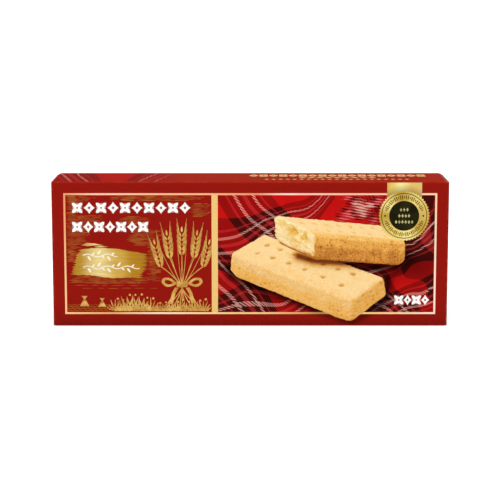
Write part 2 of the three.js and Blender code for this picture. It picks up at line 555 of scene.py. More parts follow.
def new_curve(name, paths, cyclic):
    """A curve of straight splines through the points (u, v) or (u, v, share of full width)."""
    curve = bpy.data.curves.new(name, "CURVE")
    for path in paths:
        spline = curve.splines.new("POLY")
        spline.points.add(len(path) - 1)
        for point, place in zip(spline.points, path):
            point.co = (place[0], place[1], 0, 1)
            point.radius = place[2] if len(place) > 2 else 1
        spline.use_cyclic_u = cyclic
    piece = bpy.data.objects.new(name, curve)
    bpy.context.scene.collection.objects.link(piece)
    return piece


def print_shapes(name, outlines, side, layer, material):
    """Flat ink or foil inside closed outlines. An outline inside another one is a hole."""
    piece = new_curve(name, outlines, True)
    piece.data.dimensions = "2D"
    piece.data.fill_mode = "BOTH"
    piece.data.extrude = (layer + ROOT) / 2
    middle = Matrix.Translation((0, 0, (layer - ROOT) / 2))
    settle(piece, name, side @ middle, material)
    close_up(piece)
    return piece


def print_lines(name, strokes, side, width, layer, material, under=0.0):
    """Drawn lines: each stroke is a flattened tube, half sunk in what lies under it."""
    piece = new_curve(name, strokes, False)
    piece.data.dimensions = "3D"
    piece.data.bevel_depth = width / 2
    piece.data.bevel_resolution = 1
    piece.data.use_fill_caps = True
    flat = Matrix.Diagonal((1, 1, (layer - under) / (width / 2), 1))
    settle(piece, name, side @ Matrix.Translation((0, 0, under)) @ flat, material)
    bpy.ops.object.shade_smooth()
    return piece


def print_sheet(name, left, bottom, right, top, step, side, layer, material):
    """A fine flat grid with a thickness, for a print that varies from point to point."""
    bpy.ops.object.select_all(action="DESELECT")
    bpy.ops.mesh.primitive_grid_add(
        x_subdivisions=round((right - left) / step),
        y_subdivisions=round((top - bottom) / step),
        size=1,
        location=((left + right) / 2, (bottom + top) / 2, layer),
    )
    piece = bpy.context.active_object
    piece.scale = (right - left, top - bottom, 1)
    bpy.ops.object.transform_apply(location=True, rotation=True, scale=True)
    wall = piece.modifiers.new("thickness", "SOLIDIFY")
    wall.thickness = layer + ROOT
    wall.offset = -1
    bpy.ops.object.modifier_apply(modifier=wall.name)
    return settle(piece, name, side, material)


def read(piece, what):
    """The co or the normal of each of a piece's points."""
    flat = np.zeros(len(piece.data.vertices) * 3)
    piece.data.vertices.foreach_get(what, flat)
    return flat.reshape(-1, 3)


def points_on(piece, side):
    """A piece's points as u, v, w in millimetres on its panel."""
    back = np.array(side.inverted())
    return read(piece, "co") @ back[:3, :3].T + back[:3, 3]


def write(piece, name, values):
    """Writes one number, or one vector, at each point of a piece."""
    values = np.asarray(values, np.float32)
    kind, part = ("FLOAT_VECTOR", "vector") if values.ndim == 2 else ("FLOAT", "value")
    made = piece.data.attributes.new(name, kind, "POINT")
    made.data.foreach_set(part, values.ravel())


def smoothstep(values, start, end):
    """A soft rise from 0 at start to 1 at end."""
    t = np.clip((np.asarray(values) - start) / (end - start), 0, 1)
    return t * t * (3 - 2 * t)


# The board


def carton_body(red, raw):
    """The folded carton with its flaps, shrunk by the print's thickness. Cut edges show the raw
    board, and creases are marked so that they can look worn and carry a painted highlight."""
    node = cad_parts["carton"]
    body = bpy.data.objects.new("carton_board", node.data.copy())
    body.data.materials.clear()
    bpy.context.scene.collection.objects.link(body)
    close_up(body)
    bpy.ops.object.mode_set(mode="EDIT")
    bpy.ops.mesh.select_all(action="SELECT")
    bpy.ops.mesh.dissolve_limited(angle_limit=math.radians(1))
    bpy.ops.object.mode_set(mode="OBJECT")
    gaps = (2 * RELIEF, 2 * RELIEF, RELIEF + BASE_GAP)
    shares = [1 - gap / size for gap, size in zip(gaps, (LENGTH, DEPTH, HEIGHT))]
    fit = Matrix.Diagonal((*shares, 1))
    body.data.transform(Matrix.Translation((0, 0, BASE_GAP * MM)) @ fit)
    settle(body, "carton_board", Matrix.Identity(4), red, raw)
    turned = []
    for face in body.data.polygons:
        n = face.normal
        straight = max(abs(n.x), abs(n.y), abs(n.z)) > 0.999
        at_end = abs(face.center.x) > (LENGTH / 2 - 1.0) * MM
        narrow = abs(n.x) < 0.1 and at_end and face.area < 40 * MM * MM
        seam = n.z < -0.9 and face.center.y > (DEPTH / 2 - 0.6) * MM
        face.material_index = 1 if straight and (narrow or seam) else 0
        turned.append(not straight)
    # The crease mark makes the creases paler in the board's material: partly wear, partly a painted
    # highlight along the folds
    crease = body.data.attributes.new("crease", "FLOAT", "FACE")
    crease.data.foreach_set("value", np.array(turned, np.float32))
    pick(body)
    bpy.ops.object.shade_smooth_by_angle(angle=math.radians(30))
    return body


# The cloth picture: where marked threads run over the panel. Each mark is a stripe's place in
# the thread count with points (u, v) that it passes through. Warp stripes fall to the right,
# weft stripes rise to the right, and the soft folds of the cloth bend both.
WARP_MARKS = (
    (-0.3, ((-13.9, 56.4), (-10.1, 49.9), (-6.9, 45.5), (-1, 39.6))),
    (-0.1, ((-7.4, 60.3), (-3.7, 54), (1.3, 48), (8, 43.4), (30, 22), (58, 10), (63.7, 7.5))),
    (0.1, ((1.3, 60.3), (5.5, 54.4), (11, 50.6), (60.8, 16.5), (66.5, 11.5), (70.7, 7.3))),
    (0.33, ((10.6, 60.3), (15.2, 54.8), (64, 24.5), (76, 12), (80, 6))),
    (0.5, ((26, 60.3), (28, 54), (60, 33))),
    (0.66, ((44, 60.3), (44, 52), (64, 32))),
    (0.72, ((66, 30), (70, 23), (81, 12.5))),
    (0.73, ((72, 34), (76, 24), (84, 28), (84, 16))),
    (0.8, ((60, 60), (60, 52), (77, 38), (84, 32))),
    (0.84, ((78, 60), (84, 50), (84, 42))),
    (-0.5, ((-14, 46), (-4, 34), (18, 8))),
    (-0.9, ((-14.1, 29.8), (-8.8, 24.3), (-3, 19.5), (2.1, 13.1), (6.3, 6.6))),
    (-1.1, ((-14.4, 18.3), (-10.6, 15.3), (-6.8, 11), (-3.8, 6.6))),
)
WEFT_MARKS = (
    (0.5, ((-14, 58), (-4, 58.5), (6, 60.3))),
    (0.3, ((-13.9, 49.8), (-3.2, 50.2), (1.5, 50.9), (6.7, 52.8), (13.2, 55), (25.3, 58.5))),
    (0.1, ((-14.2, 40), (-6.7, 41.3), (-0.4, 44.7), (6.8, 49.4), (17.3, 52.7), (27.7, 55.3), (32.7, 60.3))),
    (-0.1, ((-14.3, 33.6), (-10.1, 33.9), (0, 37), (25.7, 50), (29.8, 53.2), (35.7, 60.3))),
    (-0.31, ((-14.4, 26), (-8, 24), (32, 50), (39, 60))),
    (-0.5, ((-14.4, 20), (-8, 20.6), (-3.7, 23.4), (37.5, 53), (42, 60))),
    (-0.63, ((42, 51), (48, 60), (56, 52), (58, 60))),
    (-0.7, ((-12.9, 14.6), (-10.2, 16.1), (-6.9, 17.9), (-3.7, 19.8), (5, 21.5))),
    (-0.72, ((66, 50), (70, 60))),
    (-0.82, ((84, 60), (84, 55))),
    (-0.9, ((-14.4, 7.5), (-6.8, 9.7), (-2, 10.2), (1.5, 10.3), (6, 10.3), (15.2, 10.1))),
    (-0.9, ((73.8, 37.7), (77.9, 41.3), (84.1, 49))),
    (-1.1, ((18, 5), (71.8, 33.5), (78, 36.3), (84.2, 40.6))),
    (-1.25, ((60, 22), (72, 29), (84, 34))),
    (-1.31, ((60, 18.5), (70, 23.5), (84, 29.5))),
    (-1.67, ((60, 15.5), (70, 18.8), (84, 25.3))),
    (-1.82, ((60, 14), (70.6, 16.5), (74.8, 17.9), (84.5, 22.9))),
    (-1.92, ((62, 9), (77.6, 13.7), (84.6, 17.9))),
    (-2.2, ((74, 6), (84, 9))),
)


# How far the surface of threads may pass beside its marks, so that it stays smooth
SLACK = 6.0


def thread_surface(marks, points):
    """A thin-plate surface through the marks, read at the points."""
    known = np.array([place for _, places in marks for place in places], float)
    values = np.array([stripe for stripe, places in marks for _ in places], float)

    def bend(a, b):
        square = ((a[:, None, :] - b[None, :, :]) ** 2).sum(2)
        return 0.5 * square * np.log(square + 1e-9)

    count = len(known)
    tilt = np.hstack([np.ones((count, 1)), known])
    system = np.zeros((count + 3, count + 3))
    system[:count, :count] = bend(known, known) + np.eye(count) * SLACK
    system[:count, count:] = tilt
    system[count:, :count] = tilt.T
    solved = np.linalg.solve(system, np.append(values, np.zeros(3)))
    level = np.hstack([np.ones((len(points), 1)), points])
    return bend(points, known) @ solved[:count] + level @ solved[count:]


def distance_to_path(points, path):
    """The distance from each point to a path of straight stretches."""
    best = np.full(len(points), 1e9)
    for start, end in zip(path, path[1:]):
        a = np.array(start, float)
        run = np.array(end, float) - a
        t = np.clip(((points - a) @ run) / (run @ run), 0, 1)
        best = np.minimum(best, np.linalg.norm(points - a - t[:, None] * run, axis=1))
    return best


# Where the pictured biscuits touch the cloth, for their soft shadows
LOWER_FOOT = (
    (-9, 27),
    (-8.4, 23.4),
    (3, 18.5),
    (20, 12),
    (36, 5),
    (46.4, 1.6),
    (52, 5),
    (61.5, 12),
    (62.5, 20),
)
UPPER_FOOT = ((22, 32.4), (28.5, 30.4), (40, 29.6), (52, 29), (66, 28.5), (70.2, 33))
UPPER_FALL = [(u, v - 1) for u, v in UPPER_FOOT]


# A fold of the cloth that catches the light: ovals of pale, rose and dark stitches, each with
# its middle and its half width and height. And a hollow that lies in shade.
PALE_STITCHES = ((50.4, 54.6, 4.6, 4.4), (47.6, 56.4, 3, 1.6), (53.6, 55.6, 3.4, 2.4), (51, 51.4, 2.6, 2.4))
ROSE_STITCHES = (
    (45, 51.4, 5, 3.2),
    (42, 49.4, 4, 2.2),
    (56, 49, 4, 2.6),
    (57.6, 57.4, 3.6, 3),
    (43.8, 59, 3.4, 1.4),
)
DARK_STITCHES = (
    (44.6, 56.4, 2, 1.6),
    (47, 58.4, 2.6, 1.4),
    (46.8, 52, 2, 1.8),
    (55.6, 58.4, 3, 1.2),
    (57.4, 54.4, 2, 2.2),
    (54.8, 50.6, 2.6, 1.4),
    (49.4, 49.6, 2.4, 1.2),
    (39.4, 50.8, 1.8, 1.1),
    (42.4, 53.6, 1.8, 1.2),
)
HOLLOW = (74, 28.5, 14, 7)
HOLLOW_SHADE = 0.4

# Shadows of the two biscuits on the cloth: where, how dark and how wide
CLOTH_SHADOWS = ((LOWER_FOOT, 0.93, 2.7), (UPPER_FALL, 0.9, 3.4))


def soft_spots(points, spots):
    """How near each point is to the middle of the nearest soft oval, from 0 to 1."""
    share = np.zeros(len(points))
    for u, v, half_width, half_height in spots:
        away = ((points[:, 0] - u) / half_width) ** 2 + ((points[:, 1] - v) / half_height) ** 2
        share = np.maximum(share, np.exp(-away))
    return share


def weave(piece, warp, weft, tone):
    """Writes where each point of a print lies in the thread count, and its light and shade."""
    write(piece, "cloth", np.stack([warp, weft, warp * 0], 1))
    write(piece, "tone", tone)


def shaded(spot, shadows):
    """The light left at each point beside shadows: each a path, how dark and how wide."""
    tone = np.ones(len(spot))
    for path, dark, spread in shadows:
        tone *= 1 - dark * np.exp(-((distance_to_path(spot, path) / spread) ** 2))
    return tone


def tartan_panel(name, side, layer, material):
    """The front's picture of folded cloth, beside the bar."""
    piece = print_sheet(name, BAR_RIGHT, INSIDE_LOW, INSIDE_SIDE, INSIDE_HIGH, 0.7, side, layer, material)
    place = points_on(piece, side)[:, :2]
    tone = shaded(place, CLOTH_SHADOWS)
    tone *= 1 - HOLLOW_SHADE * soft_spots(place, (HOLLOW,))
    weave(piece, thread_surface(WARP_MARKS, place), thread_surface(WEFT_MARKS, place), tone)
    stitches = [soft_spots(place, spots) for spots in (PALE_STITCHES, ROSE_STITCHES, DARK_STITCHES)]
    write(piece, "glint", np.stack(stitches, 1))
    return piece


def flat_tartan(name, side, box, repeat, layer, material, shadows=()):
    """Cloth that lies nearly flat, set on the bias, for the sides that the photo hides."""
    piece = print_sheet(name, *box, 0.8, side, layer, material)
    place = points_on(piece, side)[:, :2]
    warp = (place[:, 0] + 0.6 * place[:, 1]) / repeat + 0.04 * np.sin(place[:, 1] / 9)
    weft = (place[:, 1] - 0.55 * place[:, 0]) / repeat + 0.04 * np.sin(place[:, 0] / 11)
    weave(piece, warp, weft, shaded(place, shadows) * 0.95)
    return piece


def tartan_top(name, side, layer, material):
    """Tartan that fades into the red board along the top."""
    half = DEPTH / 2 - 1.2
    piece = print_sheet(name, -88.5, -half, -26, half, 0.8, side, layer, material)
    place = points_on(piece, side)[:, :2]
    lean = 0.25 - 0.5 * smoothstep(place[:, 0], -75, -45)
    warp = (place[:, 0] + lean * place[:, 1] + 81.2) / 38
    weft = 0.45 + 0.05 * np.sin(place[:, 0] / 7 + place[:, 1] / 9)
    weave(piece, warp, weft, np.full(len(place), 0.95))
    write(piece, "fade", smoothstep(place[:, 0], -54, -28) * 0.88 + 0.12)
    return piece


# The pictured biscuits. Each is modelled whole, in its own millimetres, and pressed flat on to
# the panel, so that its print has true perspective, holes and shade.
BISCUIT = Vector((76, 24, 15))
BISCUIT_ROUNDING = 2.4
HOLE_RADIUS = 1.0
HOLE_DEPTH = 2.4
# The base curls up over some length at each end, by some height
END_CURVE = 8
END_LIFT = 3.4
# The skin's lumps and its sand: how wide and how high they are
LUMP_SIZE = 4.5
LUMP_HEIGHT = 0.28
SAND_SIZE = 1.1
SAND_HEIGHT = 0.14
# How far the broken end's crumb reaches in, and how ragged its face is
BROKEN_REACH = 8
BROKEN_RAG = 1.5
# Hollows of the broken end: across and up in the biscuit, half sizes and depth
BREAK = (
    (13.5, 9.5, 2.6, 3.6, 3.2),
    (5.5, 10, 2.2, 4, 2.8),
    (10.5, 2.5, 3, 2.4, 1.4),
    (19.5, 11.5, 2.2, 2, 1.2),
)
PICTURE_LIGHT = np.array(Vector((-0.35, -0.5, 0.8)).normalized())


def eye_map(places):
    """The perspective map from a biscuit's box, 0 to 1 each way, to (u, v) on the panel."""
    rows = []
    for (a, b, c), (u, v) in places:
        rows.append([a, b, c, 1, 0, 0, 0, 0, -u * a, -u * b, -u * c, -u])
        rows.append([0, 0, 0, 0, a, b, c, 1, -v * a, -v * b, -v * c, -v])
    values = np.array(rows, float)
    solved = np.linalg.lstsq(values[:, :11], -values[:, 11], rcond=None)[0]
    return np.append(solved, 1).reshape(3, 4)


def fractal(points, size, seed):
    """Rough noise at points, whose lumps measure about size."""
    moved = Vector((seed * 7.3, seed * 3.1, seed * 5.7))
    return np.array([noise.fractal(Vector(p) / size + moved, 0.9, 2.1, 3) for p in points])


def whole_biscuit():
    """A finger of dough with rounded edges, in millimetres from its lower front left corner."""
    bpy.ops.object.select_all(action="DESELECT")
    bpy.ops.mesh.primitive_cube_add(size=1, location=BISCUIT / 2)
    piece = bpy.context.active_object
    piece.scale = BISCUIT
    bpy.ops.object.transform_apply(location=True, rotation=True, scale=True)
    edge = piece.modifiers.new("rounding", "BEVEL")
    edge.width = BISCUIT_ROUNDING
    edge.segments = 5
    bpy.ops.object.modifier_apply(modifier=edge.name)
    piece.data.remesh_voxel_size = 0.45
    bpy.ops.object.voxel_remesh()
    return piece


def docking_dent(loaf):
    """How deep each point lies in a docking hole, from 0 to 1."""
    dent = np.zeros(len(loaf))
    uneven = fractal(loaf, 2.2, SEED + 6)
    for a, b in DOCKING:
        gap = np.hypot(loaf[:, 0] - a * BISCUIT.x, loaf[:, 1] - b * BISCUIT.y) / HOLE_RADIUS
        dent += np.exp(-((gap * (1 + 0.35 * uneven)) ** 3))
    return dent * smoothstep(loaf[:, 2], BISCUIT.z - 3, BISCUIT.z - 1)


def press_flat(piece, shape, places, layer):
    """Draws the shape in perspective on the panel, nearer parts on top, almost flat."""
    lens = eye_map(places)
    box = np.column_stack([shape / np.array(BISCUIT), np.ones(len(shape))])
    seen = box @ lens.T
    spot = seen[:, :2] / seen[:, 2:]
    middle = spot.mean(0)
    across = lens[0, :3] - middle[0] * lens[2, :3]
    upward = lens[1, :3] - middle[1] * lens[2, :3]
    toward_eye = np.cross(across, upward)
    toward_eye *= np.sign(toward_eye[2])
    near = box[:, :3] @ toward_eye
    near = (near - near.min()) / (near.max() - near.min())
    pressed = np.column_stack([spot, layer - BISCUIT_SQUEEZE * (1 - near)])
    piece.data.vertices.foreach_set("co", pressed.ravel())
    piece.data.update()
    return spot


def biscuit(name, places, browning, rim, broken, side, layer, material, shadow=()):
    """One pictured biscuit. Places are its box corners on the panel. Browning is how far its
    sides are baked and rim the share of that near the top. A broken one lost its left end."""
    piece = whole_biscuit()
    loaf = read(piece, "co")
    outward = read(piece, "normal")
    dent = docking_dent(loaf)
    sandy = fractal(loaf, SAND_SIZE, SEED + 2)
    lumps = LUMP_HEIGHT * fractal(loaf, LUMP_SIZE, SEED) + SAND_HEIGHT * sandy
    shape = loaf + outward * lumps[:, None]
    shape[:, 2] -= HOLE_DEPTH * dent
    low = 1 - loaf[:, 2] / BISCUIT.z
    for end, inner in ((BISCUIT.x, BISCUIT.x - END_CURVE), (0, END_CURVE)):
        shape[:, 2] += END_LIFT * low * smoothstep(loaf[:, 0], inner, end) ** 2
    crumb = np.zeros(len(loaf))
    pit = np.zeros(len(loaf))
    if broken:
        bits = fractal(loaf, 2.2, SEED + 4)
        for y, z, half_y, half_z, deep in BREAK:
            away = ((loaf[:, 1] - y) / half_y) ** 2 + ((loaf[:, 2] - z) / half_z) ** 2
            pit += deep * np.exp(-away * (1 + 0.3 * bits))
        at_break = 1 - smoothstep(loaf[:, 0], 2.5, BROKEN_REACH)
        ragged = BROKEN_RAG * fractal(loaf, LUMP_SIZE, SEED + 3)
        shape[:, 0] += at_break * (pit + ragged + 0.3 * bits - 0.6)
        crumb = 1 - smoothstep(loaf[:, 0] + bits, 1.4, 3.4)
        pit = np.clip(pit / 2.6 + 0.4 * bits, 0, 1)
    piece.data.vertices.foreach_set("co", shape.ravel())
    piece.data.update()
    facing = read(piece, "normal")

    # Light: brightest on top and towards the lamp, darker below and in the holes
    upward = facing[:, 2]
    lit = np.clip(facing @ PICTURE_LIGHT, 0, 1)
    tone = 0.80 + 0.10 * np.clip(upward, 0, 1) + 0.14 * lit - 0.3 * np.clip(-upward - 0.25, 0, 1)
    tone *= (1 - 0.36 * dent) * (1 + 0.09 * sandy)
    tone = tone + (0.98 - tone) * 0.5 * crumb

    # Browning: on the sides, strongest near the base and at the right end, and in the holes
    height = loaf[:, 2] / BISCUIT.z + 0.1 * fractal(loaf, LUMP_SIZE, SEED + 5)
    shoulder = 0.8 * (1 - smoothstep(loaf[:, 1] + sandy, 1, 6))
    on_side = np.maximum(1 - smoothstep(outward[:, 2], 0.2, 0.8), shoulder)
    rim = np.maximum(rim, smoothstep(outward[:, 0], 0.2, 0.8))
    crust = on_side * (rim + (1 - rim) * (1 - smoothstep(height, 0.46, 0.7)))
    write(piece, "bake", np.clip(browning * crust * (1 - 0.8 * crumb) + 0.95 * dent, 0, 1))
    write(piece, "crumb", np.stack([crumb, pit, crumb * 0], 1))
    write(piece, "loaf", loaf)

    spot = press_flat(piece, shape, places, layer)
    if shadow:
        gap = distance_to_path(spot, shadow)
        tone *= (1 - 0.42 * np.exp(-((gap / 3) ** 2))) * (1 - 0.72 * np.exp(-((gap / 1.5) ** 2)))
    write(piece, "tone", tone)
    settle(piece, name, side, material)
    bpy.ops.object.shade_smooth_by_angle(angle=math.radians(40))
    return piece


# Corners of each pictured biscuit's box, as shares of its length, width and height, and where
# they lie on the front panel. Then its docking holes in two rows, as shares of length and width.
LOWER_PLACES = (
    ((0, 0, 1), (-9.2, 34.2)),
    ((1, 0, 1), (46.4, 11.6)),
    ((0, 1, 1), (6.4, 42.8)),
    ((1, 1, 1), (61.2, 22.9)),
    ((0, 0, 0), (-10.2, 23.0)),
    ((1, 0, 0), (48.0, -0.4)),
    ((1, 1, 0), (63.8, 12.0)),
)
UPPER_PLACES = (
    ((0, 0, 1), (27.4, 43.4)),
    ((1, 0, 1), (71.0, 38.8)),
    ((0, 1, 1), (12.0, 50.3)),
    ((1, 1, 1), (61.5, 46.9)),
    ((0, 0, 0), (28.3, 29.8)),
    ((1, 0, 0), (70.4, 27.4)),
    ((0, 1, 0), (8.8, 39.4)),
)
BOW = [math.sin(math.pi * i / 5) for i in range(6)]
DOCKING = [(0.145 + 0.139 * i - 0.03 * BOW[i], 0.32 + 0.06 * BOW[i]) for i in range(6)]
DOCKING += [(0.122 + 0.116 * i, 0.665 + 0.014 * i) for i in range(7)]


# Drawn ornament, as lists of (u, v) points


def lozenge(u, v, width, height, power=0.85, count=32):
    """A diamond with slightly hollow sides."""
    points = []
    for i in range(count):
        c = math.cos(2 * math.pi * i / count)
        s = math.sin(2 * math.pi * i / count)
        reach = (abs(c) ** power + abs(s) ** power) ** (-1 / power)
        points.append((u + width / 2 * reach * c, v + height / 2 * reach * s))
    return points


def rectangle(left, bottom, right, top):
    """The outline of an upright box."""
    return [(left, bottom), (right, bottom), (right, top), (left, top)]


def frame_ring(left, bottom, right, top, line=FRAME_LINE):
    """The outer and inner outline of a rectangular frame line."""
    return [
        rectangle(left, bottom, right, top),
        rectangle(left + line, bottom + line, right - line, top - line),
    ]


def blossom(u, v, size, turn=0.0, count=96):
    """A star flower in one outline: four broad pointed petals with a narrow one between each."""
    points = []
    for i in range(count):
        angle = 2 * math.pi * i / count
        off_axis = abs((angle / (math.pi / 2) + 0.5) % 1 - 0.5) * 2
        broad = (1 - off_axis) ** 0.55
        narrow = 0.72 * max(0, (off_axis - 0.72) / 0.28) ** 0.6
        reach = size * max(0.26, broad, narrow)
        points.append((u + reach * math.cos(angle + turn), v + reach * math.sin(angle + turn)))
    return points


def ornament_row(left, right, middle, height, count):
    """Star flowers and pierced lozenges by turns, evenly along a row."""
    pitch = (right - left) / count
    shapes = []
    for i in range(count):
        u = left + pitch * (i + 0.5)
        if i % 2:
            shapes.append(lozenge(u, middle, pitch * 0.94, height))
            shapes.append(lozenge(u, middle, pitch * 0.26, height * 0.3))
        else:
            shapes.append(blossom(u, middle, height * 0.6, math.pi / 4))
            shapes.append(circle(u, middle, height * 0.07, 16))
    return shapes


def circle(u, v, radius, count=96):
    """A round outline of straight stretches."""
    turns = [2 * math.pi * i / count for i in range(count)]
    return [(u + radius * math.cos(turn), v + radius * math.sin(turn)) for turn in turns]


def kernel(u, v, angle, length, width, count=14):
    """A grain outline with a pointed tip, leaning at an angle from upright."""
    points = []
    for i in range(count):
        t = 2 * math.pi * i / count
        along = length * (0.5 - 0.5 * math.cos(t))
        across = width / 2 * math.sin(t) * (1 - 0.35 * along / length)
        points.append(
            (
                u + along * math.sin(angle) + across * math.cos(angle),
                v + along * math.cos(angle) - across * math.sin(angle),
            )
        )
    return points


def wheat_ear(u, v, angle, length):
    """The grains and the awns of one ear whose foot is at (u, v)."""
    grains, awns = [], []
    pairs = 5
    grain_length = length * 0.25
    for i in range(pairs):
        along = length * 0.8 * i / pairs
        scale = 1 - 0.35 * i / pairs
        for hand in (-1, 1):
            lean = angle + hand * 0.42
            foot_u = u + along * math.sin(angle) + hand * 0.32 * math.cos(angle)
            foot_v = v + along * math.cos(angle) - hand * 0.32 * math.sin(angle)
            grains.append(kernel(foot_u, foot_v, lean, grain_length * scale, length * 0.1 * scale))
            tip_u = foot_u + grain_length * scale * math.sin(lean)
            tip_v = foot_v + grain_length * scale * math.cos(lean)
            reach = length * (0.3 + 0.05 * i)
            spread = angle + hand * 0.16
            end = (tip_u + reach * math.sin(spread), tip_v + reach * math.cos(spread), 0.3)
            awns.append([(tip_u, tip_v), end])
    top = length * 0.8
    crown = (u + top * math.sin(angle), v + top * math.cos(angle))
    grains.append(kernel(*crown, angle, grain_length * 0.8, length * 0.08))
    return grains, awns


def curve_between(start, bend, end, count=12, thin=1.0):
    """A smooth stroke from start to end that leans towards a bend point."""
    points = []
    for i in range(count + 1):
        t = i / count
        u = (1 - t) ** 2 * start[0] + 2 * t * (1 - t) * bend[0] + t * t * end[0]
        v = (1 - t) ** 2 * start[1] + 2 * t * (1 - t) * bend[1] + t * t * end[1]
        points.append((u, v, 1 - (1 - thin) * t))
    return points


# Where the front's sheaf is tied
SHEAF_U = -31.0
TIE_V = 19.5


def wheat_sheaf():
    """A tied sheaf of five ears about its knot: filled grains, and strokes for stalks and awns."""
    grains, strokes = [], []
    ears = ((-9.6, 8, -0.25), (-5.4, 12, -0.13), (0, 13.5, 0.0), (5.4, 12, 0.13), (9.6, 8, 0.25))
    for offset, foot, angle in ears:
        made, awns = wheat_ear(offset, foot, angle, 13)
        grains += made
        strokes += awns
        waist = (offset * 0.12, 0)
        strokes.append(curve_between(waist, (offset * 0.5, 5), (offset, foot)))
        low_end = (-offset * 0.85, abs(offset) * 0.12 - 11.3)
        strokes.append(curve_between(waist, (-offset * 0.25, -7), low_end, thin=0.7))
    for offset in (-9, -5.4, -1.8, 1.8, 5.4, 9):
        waist = (offset * 0.1, 0)
        strokes.append(curve_between(waist, (-offset * 0.2, -6), (-offset * 0.95, -11.9), thin=0.5))
        strokes.append(curve_between(waist, (offset * 0.5, 4), (offset * 1.1, 16.5), thin=0.4))
    return grains, strokes


def moved(shapes, u, v, scale=1.0):
    """Shapes drawn about 0, 0, scaled and taken to (u, v)."""
    return [[(u + p[0] * scale, v + p[1] * scale, *p[2:]) for p in shape] for shape in shapes]


def rounded(corners, steps=6):
    """A smooth closed outline through the corners."""
    points = []
    count = len(corners)
    for i in range(count):
        a, b, c, d = (np.array(corners[(i + k) % count], float) for k in (-1, 0, 1, 2))
        for j in range(steps):
            t = j / steps
            bend = 2 * a - 5 * b + 4 * c - d + t * (3 * (b - c) + d - a)
            points.append(tuple(b + 0.5 * t * (c - a + t * bend)))
    return points


# The ribbon's knot, and its right loop with the hole in it and its right end
KNOT = ((-2.3, -1.2), (0, -1.5), (2.3, -1.2), (2.5, 0), (2.3, 1.2), (0, 0.9), (-2.3, 1.2), (-2.5, 0))
LOOP = ((2.7, 0.1), (5.2, 2.6), (8.4, 2.7), (9.2, 0.6), (6.6, -1.3))
LOOP_HOLE = ((4.3, 0.4), (5.8, 1.7), (7.6, 1.7), (7.8, 0.6), (6.2, -0.2))
RIBBON_END = (
    (1.6, -1.7),
    (3.2, -1.6),
    (4.6, -4),
    (5.2, -6.4),
    (6.8, -9),
    (5.3, -8.1),
    (4.4, -9.8),
    (3.6, -6.6),
    (3, -4.2),
)


def ribbon():
    """The knot, two open loops and two notched ends that tie the sheaf."""
    shapes = [rounded(KNOT)]
    for hand in (-1, 1):
        loop, hole, end = ([(hand * u, v) for u, v in shape] for shape in (LOOP, LOOP_HOLE, RIBBON_END))
        shapes += [rounded(loop), rounded(hole), end]
    return shapes


def print_sheaf(name, side, u, v, scale, ink):
    """A whole sheaf with its ribbon, tied at (u, v)."""
    grains, strokes = wheat_sheaf()
    print_shapes(name + "_grains", moved(grains, u, v, scale), side, LINES, ink)
    print_lines(name + "_strokes", moved(strokes, u, v, scale), side, 0.42 * math.sqrt(scale), LINES, ink)
    print_shapes(name + "_ribbon", moved(ribbon(), u, v, scale), side, LINES + 0.01, ink)


def leaf(u, v, angle, length, bend):
    """A stroke that swells and tapers like a blade of leaf."""
    tip = (u + length * math.sin(angle), v + length * math.cos(angle))
    middle = ((u + tip[0]) / 2 + bend * math.cos(angle), (v + tip[1]) / 2 - bend * math.sin(angle))
    path = curve_between((u, v), middle, tip, 6)
    return [(a, b, 0.15 + 0.85 * math.sin(math.pi * i / 6)) for i, (a, b, _) in enumerate(path)]


def hedge(draw):
    """A low border of leafy tufts with round seed heads, along the foot of the sheaf."""
    leaves, seeds = [], []
    u = -61.5
    while u < -19.5:
        tall = draw.uniform(3.4, 5.6) + 3.4 * math.exp(-((u + 53) / 5) ** 2)
        for i in range(-3, 4):
            length = tall * (1 - 0.09 * abs(i)) * draw.uniform(0.85, 1.1)
            leaves.append(leaf(u + 0.16 * i, 7.0, 0.36 * i, length, 0.12 * i * length / 4))
        seeds.append(circle(u + draw.uniform(1.1, 1.5), 7.2 + tall * 0.95, draw.uniform(0.4, 0.6), 16))
        u += draw.uniform(2.3, 3.1)
    for i in range(40):
        u = -62 + 43.5 * i / 40 + draw.uniform(-0.3, 0.3)
        leaves.append(leaf(u, 6.8, draw.uniform(-0.9, 0.9), draw.uniform(1.4, 2.6), 0.1))
    return leaves, seeds


def hatch_bank(left, right, bottom, top, pitch, draw):
    """Level strokes of uneven length that fill a soft-edged bank."""
    strokes = []
    v = bottom
    middle = (bottom + top) / 2
    centre = (left + right) / 2
    while v < top:
        share = abs(v - middle) / max((top - bottom) / 2, 0.1)
        reach = (right - left) / 2 * (1 - 0.3 * share ** 2)
        u = centre - reach + draw.uniform(-1.2, 1.2)
        stop = centre + reach + draw.uniform(-1.8, 1.8)
        while u < stop - 0.8:
            run = min(draw.uniform(4, 13), stop - u)
            sway = draw.uniform(-0.12, 0.12)
            between = [(u + run * 0.25, v + sway), (u + run * 0.75, v - sway)]
            strokes.append([(u, v, 0.25), *between, (u + run, v, 0.25)])
            u += run + draw.uniform(0.2, 0.8)
        v += pitch
    return strokes


def field_strokes(draw):
    """Level furrows in low waves along the foot of the left half, and short dashes above."""
    strokes = []
    for row in range(4):
        v = 7.3 + row * 0.85
        points = []
        for i in range(64):
            u = -83.2 + i * 0.34
            points.append((u, v + 0.2 * math.sin(i * 0.9 + row * 2), 1 if row < 3 else 0.7))
        strokes.append(points)
    for row, (left, right) in enumerate(((-82, -46), (-80, -50), (-76.5, -44))):
        u = left
        while u < right:
            run = draw.uniform(2.5, 6.5)
            v = 20.2 - row * 1.35
            strokes.append([(u, v, 0.4), (u + run / 2, v + draw.uniform(-0.1, 0.1), 0.9), (u + run, v, 0.4)])
            u += run + draw.uniform(1.2, 2.6)
    return strokes


